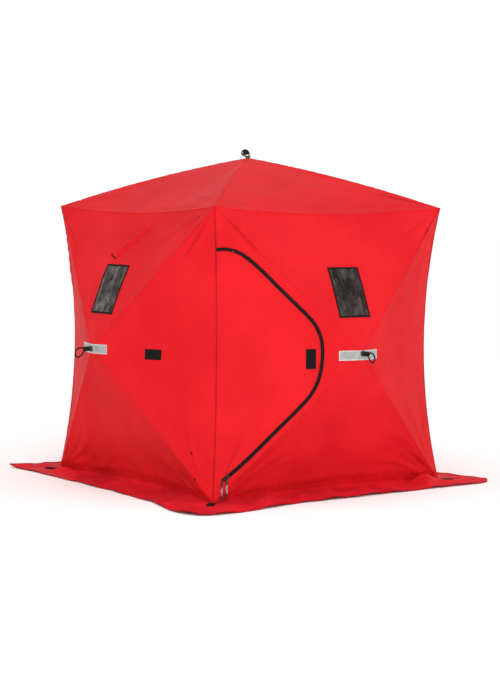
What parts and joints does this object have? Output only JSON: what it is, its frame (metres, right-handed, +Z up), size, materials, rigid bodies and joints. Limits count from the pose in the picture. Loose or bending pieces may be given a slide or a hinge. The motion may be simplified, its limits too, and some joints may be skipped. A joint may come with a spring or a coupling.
{
  "type": "ice fishing shelter",
  "caption": "Square pop-up fabric hub shelter with a zipped door, clear windows, pull ropes at its hubs and a snow skirt round the base.",
  "frame": {"origin": "on the ground at the middle of the base", "axes": "+Z up, the door wall faces -Y, +X to the right of the door wall seen from outside"},
  "size_m": [2.2396, 2.2396, 1.8274],
  "materials": {
    "fabric": "red coated polyester, plain weave",
    "webbing": "black polyester webbing",
    "hub_plastic": "moulded black nylon",
    "fibreglass": "pultruded fibreglass rod",
    "vinyl": "crinkled clear vinyl",
    "rope": "black braided cord",
    "zip_tape": "black woven zip tape with a coil",
    "zip_hardware": "black slider and pull with a pale reflective strip"
  },
  "bodies": {
    "shelter": {"roof_canopy": "fabric", "wall_front": "fabric", "wall_right": "fabric", "wall_back": "fabric", "wall_left": "fabric", "skirt": "fabric", "door_surround": "fabric", "window_front": "vinyl", "window_left": "vinyl", "vent_hood": "fabric", "pocket_upper_front_left": "webbing", "pocket_lower_front_left": "webbing", "anchor_tab_front_left": "webbing", "pocket_upper_front_right": "webbing", "pocket_lower_front_right": "webbing", "anchor_tab_front_right": "webbing", "pocket_upper_back_right": "webbing", "pocket_lower_back_right": "webbing", "anchor_tab_back_right": "webbing", "pocket_upper_back_left": "webbing", "pocket_lower_back_left": "webbing", "anchor_tab_back_left": "webbing"},
    "hub_front": {"hub_front": "hub_plastic", "pull_rope_front": "rope"},
    "pole_front_upper_right": {"pole_front_upper_right": "fibreglass"},
    "pole_front_upper_left": {"pole_front_upper_left": "fibreglass"},
    "pole_front_lower_left": {"pole_front_lower_left": "fibreglass"},
    "pole_front_lower_right": {"pole_front_lower_right": "fibreglass"},
    "hub_right": {"hub_right": "hub_plastic", "pull_rope_right": "rope"},
    "pole_right_upper_right": {"pole_right_upper_right": "fibreglass"},
    "pole_right_upper_left": {"pole_right_upper_left": "fibreglass"},
    "pole_right_lower_left": {"pole_right_lower_left": "fibreglass"},
    "pole_right_lower_right": {"pole_right_lower_right": "fibreglass"},
    "hub_back": {"hub_back": "hub_plastic", "pull_rope_back": "rope"},
    "pole_back_upper_right": {"pole_back_upper_right": "fibreglass"},
    "pole_back_upper_left": {"pole_back_upper_left": "fibreglass"},
    "pole_back_lower_left": {"pole_back_lower_left": "fibreglass"},
    "pole_back_lower_right": {"pole_back_lower_right": "fibreglass"},
    "hub_left": {"hub_left": "hub_plastic", "pull_rope_left": "rope"},
    "pole_left_upper_right": {"pole_left_upper_right": "fibreglass"},
    "pole_left_upper_left": {"pole_left_upper_left": "fibreglass"},
    "pole_left_lower_left": {"pole_left_lower_left": "fibreglass"},
    "pole_left_lower_right": {"pole_left_lower_right": "fibreglass"},
    "hub_roof": {"hub_roof": "hub_plastic", "pull_rope_roof": "rope"},
    "pole_roof_back_right": {"pole_roof_back_right": "fibreglass"},
    "pole_roof_back_left": {"pole_roof_back_left": "fibreglass"},
    "pole_roof_front_left": {"pole_roof_front_left": "fibreglass"},
    "pole_roof_front_right": {"pole_roof_front_right": "fibreglass"},
    "door_panel": {"zipper_tape_fixed": "zip_tape", "zip_slider_lower": "zip_hardware"},
    "door": {"door_flap": "fabric", "zipper_tape_door": "zip_tape"},
    "slider_upper": {"zip_slider_upper": "zip_hardware"},
    "pull_upper": {"zip_pull_upper": "zip_hardware"},
    "pull_lower": {"zip_pull_lower": "zip_hardware"}
  },
  "joints": [
    {"name": "hub_front_pop", "type": "slide", "parent": "shelter", "child": "hub_front", "axis": [0, 1, 0], "range_m": [0, 0.51], "deforming": ["wall_front", "door_surround", "window_front"]},
    {"name": "pole_front_upper_right_pivot", "type": "hinge", "parent": "hub_front", "child": "pole_front_upper_right", "pos_m": [0.02687, -0.983, 0.77887], "axis": [0.7071, 0, -0.7071], "range_deg": [-0.5, 30.66]},
    {"name": "pole_front_upper_left_pivot", "type": "hinge", "parent": "hub_front", "child": "pole_front_upper_left", "pos_m": [-0.02687, -0.983, 0.77887], "axis": [0.7071, 0, 0.7071], "range_deg": [-0.5, 30.66]},
    {"name": "pole_front_lower_left_pivot", "type": "hinge", "parent": "hub_front", "child": "pole_front_lower_left", "pos_m": [-0.02687, -0.983, 0.72513], "axis": [-0.7071, 0, 0.7071], "range_deg": [-0.5, 30.66]},
    {"name": "pole_front_lower_right_pivot", "type": "hinge", "parent": "hub_front", "child": "pole_front_lower_right", "pos_m": [0.02687, -0.983, 0.72513], "axis": [-0.7071, 0, -0.7071], "range_deg": [-0.5, 30.66]},
    {"name": "hub_right_pop", "type": "slide", "parent": "shelter", "child": "hub_right", "axis": [-1, 0, 0], "range_m": [0, 0.51], "deforming": ["wall_right"]},
    {"name": "pole_right_upper_right_pivot", "type": "hinge", "parent": "hub_right", "child": "pole_right_upper_right", "pos_m": [0.983, 0.02687, 0.77887], "axis": [0, 0.7071, -0.7071], "range_deg": [-0.5, 30.66]},
    {"name": "pole_right_upper_left_pivot", "type": "hinge", "parent": "hub_right", "child": "pole_right_upper_left", "pos_m": [0.983, -0.02687, 0.77887], "axis": [0, 0.7071, 0.7071], "range_deg": [-0.5, 30.66]},
    {"name": "pole_right_lower_left_pivot", "type": "hinge", "parent": "hub_right", "child": "pole_right_lower_left", "pos_m": [0.983, -0.02687, 0.72513], "axis": [0, -0.7071, 0.7071], "range_deg": [-0.5, 30.66]},
    {"name": "pole_right_lower_right_pivot", "type": "hinge", "parent": "hub_right", "child": "pole_right_lower_right", "pos_m": [0.983, 0.02687, 0.72513], "axis": [0, -0.7071, -0.7071], "range_deg": [-0.5, 30.66]},
    {"name": "hub_back_pop", "type": "slide", "parent": "shelter", "child": "hub_back", "axis": [0, -1, 0], "range_m": [0, 0.51], "deforming": ["wall_back"]},
    {"name": "pole_back_upper_right_pivot", "type": "hinge", "parent": "hub_back", "child": "pole_back_upper_right", "pos_m": [-0.02687, 0.983, 0.77887], "axis": [-0.7071, 0, -0.7071], "range_deg": [-0.5, 30.66]},
    {"name": "pole_back_upper_left_pivot", "type": "hinge", "parent": "hub_back", "child": "pole_back_upper_left", "pos_m": [0.02687, 0.983, 0.77887], "axis": [-0.7071, 0, 0.7071], "range_deg": [-0.5, 30.66]},
    {"name": "pole_back_lower_left_pivot", "type": "hinge", "parent": "hub_back", "child": "pole_back_lower_left", "pos_m": [0.02687, 0.983, 0.72513], "axis": [0.7071, 0, 0.7071], "range_deg": [-0.5, 30.66]},
    {"name": "pole_back_lower_right_pivot", "type": "hinge", "parent": "hub_back", "child": "pole_back_lower_right", "pos_m": [-0.02687, 0.983, 0.72513], "axis": [0.7071, 0, -0.7071], "range_deg": [-0.5, 30.66]},
    {"name": "hub_left_pop", "type": "slide", "parent": "shelter", "child": "hub_left", "axis": [1, 0, 0], "range_m": [0, 0.51], "deforming": ["wall_left", "window_left", "vent_hood"]},
    {"name": "pole_left_upper_right_pivot", "type": "hinge", "parent": "hub_left", "child": "pole_left_upper_right", "pos_m": [-0.983, -0.02687, 0.77887], "axis": [0, -0.7071, -0.7071], "range_deg": [-0.5, 30.66]},
    {"name": "pole_left_upper_left_pivot", "type": "hinge", "parent": "hub_left", "child": "pole_left_upper_left", "pos_m": [-0.983, 0.02687, 0.77887], "axis": [0, -0.7071, 0.7071], "range_deg": [-0.5, 30.66]},
    {"name": "pole_left_lower_left_pivot", "type": "hinge", "parent": "hub_left", "child": "pole_left_lower_left", "pos_m": [-0.983, 0.02687, 0.72513], "axis": [0, 0.7071, 0.7071], "range_deg": [-0.5, 30.66]},
    {"name": "pole_left_lower_right_pivot", "type": "hinge", "parent": "hub_left", "child": "pole_left_lower_right", "pos_m": [-0.983, -0.02687, 0.72513], "axis": [0, 0.7071, -0.7071], "range_deg": [-0.5, 30.66]},
    {"name": "hub_roof_pop", "type": "slide", "parent": "shelter", "child": "hub_roof", "axis": [0, 0, -1], "range_m": [0, 0.532], "deforming": ["roof_canopy"]},
    {"name": "pole_roof_back_right_pivot", "type": "hinge", "parent": "hub_roof", "child": "pole_roof_back_right", "pos_m": [0.02687, 0.02687, 1.745], "axis": [0.7071, -0.7071, 0], "range_deg": [-0.5, 32]},
    {"name": "pole_roof_back_left_pivot", "type": "hinge", "parent": "hub_roof", "child": "pole_roof_back_left", "pos_m": [-0.02687, 0.02687, 1.745], "axis": [0.7071, 0.7071, 0], "range_deg": [-0.5, 32]},
    {"name": "pole_roof_front_left_pivot", "type": "hinge", "parent": "hub_roof", "child": "pole_roof_front_left", "pos_m": [-0.02687, -0.02687, 1.745], "axis": [-0.7071, 0.7071, 0], "range_deg": [-0.5, 32]},
    {"name": "pole_roof_front_right_pivot", "type": "hinge", "parent": "hub_roof", "child": "pole_roof_front_right", "pos_m": [0.02687, -0.02687, 1.745], "axis": [-0.7071, -0.7071, 0], "range_deg": [-0.5, 32]},
    {"name": "door_panel_swing", "type": "hinge", "parent": "shelter", "child": "door_panel", "pos_m": [-0.72, -0.737, 0.752], "axis": [0, 0, 1], "range_deg": [-0.5, 40.15]},
    {"name": "door_open", "type": "hinge", "parent": "door_panel", "child": "door", "pos_m": [-0.7, -0.772, 0.752], "axis": [0, 0, -1], "range_deg": [0, 205]},
    {"name": "zip_slider_upper_run", "type": "slide", "parent": "door_panel", "child": "slider_upper", "axis": [0.7081, -0.2573, 0.6575], "range_m": [0, 0.25]},
    {"name": "zip_pull_upper_swing", "type": "hinge", "parent": "slider_upper", "child": "pull_upper", "pos_m": [-0.698, -0.7932, 0.127], "axis": [-1, 0, 0], "range_deg": [0, 120]},
    {"name": "zip_pull_lower_swing", "type": "hinge", "parent": "door_panel", "child": "pull_lower", "pos_m": [-0.724, -0.7861, 0.115], "axis": [-1, 0, 0], "range_deg": [0, 120]}
  ],
  "couplings": [
    {"joint": "pole_front_upper_right_pivot", "follows": "hub_front_pop", "rad_per_m": 1.0323},
    {"joint": "pole_front_upper_left_pivot", "follows": "hub_front_pop", "rad_per_m": 1.0323},
    {"joint": "pole_front_lower_left_pivot", "follows": "hub_front_pop", "rad_per_m": 1.0323},
    {"joint": "pole_front_lower_right_pivot", "follows": "hub_front_pop", "rad_per_m": 1.0323},
    {"joint": "pole_right_upper_right_pivot", "follows": "hub_right_pop", "rad_per_m": 1.0323},
    {"joint": "pole_right_upper_left_pivot", "follows": "hub_right_pop", "rad_per_m": 1.0323},
    {"joint": "pole_right_lower_left_pivot", "follows": "hub_right_pop", "rad_per_m": 1.0323},
    {"joint": "pole_right_lower_right_pivot", "follows": "hub_right_pop", "rad_per_m": 1.0323},
    {"joint": "pole_back_upper_right_pivot", "follows": "hub_back_pop", "rad_per_m": 1.0323},
    {"joint": "pole_back_upper_left_pivot", "follows": "hub_back_pop", "rad_per_m": 1.0323},
    {"joint": "pole_back_lower_left_pivot", "follows": "hub_back_pop", "rad_per_m": 1.0323},
    {"joint": "pole_back_lower_right_pivot", "follows": "hub_back_pop", "rad_per_m": 1.0323},
    {"joint": "pole_left_upper_right_pivot", "follows": "hub_left_pop", "rad_per_m": 1.0323},
    {"joint": "pole_left_upper_left_pivot", "follows": "hub_left_pop", "rad_per_m": 1.0323},
    {"joint": "pole_left_lower_left_pivot", "follows": "hub_left_pop", "rad_per_m": 1.0323},
    {"joint": "pole_left_lower_right_pivot", "follows": "hub_left_pop", "rad_per_m": 1.0323},
    {"joint": "pole_roof_back_right_pivot", "follows": "hub_roof_pop", "rad_per_m": 1.0334},
    {"joint": "pole_roof_back_left_pivot", "follows": "hub_roof_pop", "rad_per_m": 1.0334},
    {"joint": "pole_roof_front_left_pivot", "follows": "hub_roof_pop", "rad_per_m": 1.0334},
    {"joint": "pole_roof_front_right_pivot", "follows": "hub_roof_pop", "rad_per_m": 1.0334},
    {"joint": "door_panel_swing", "follows": "hub_front_pop", "rad_per_m": 1.3569}
  ]
}
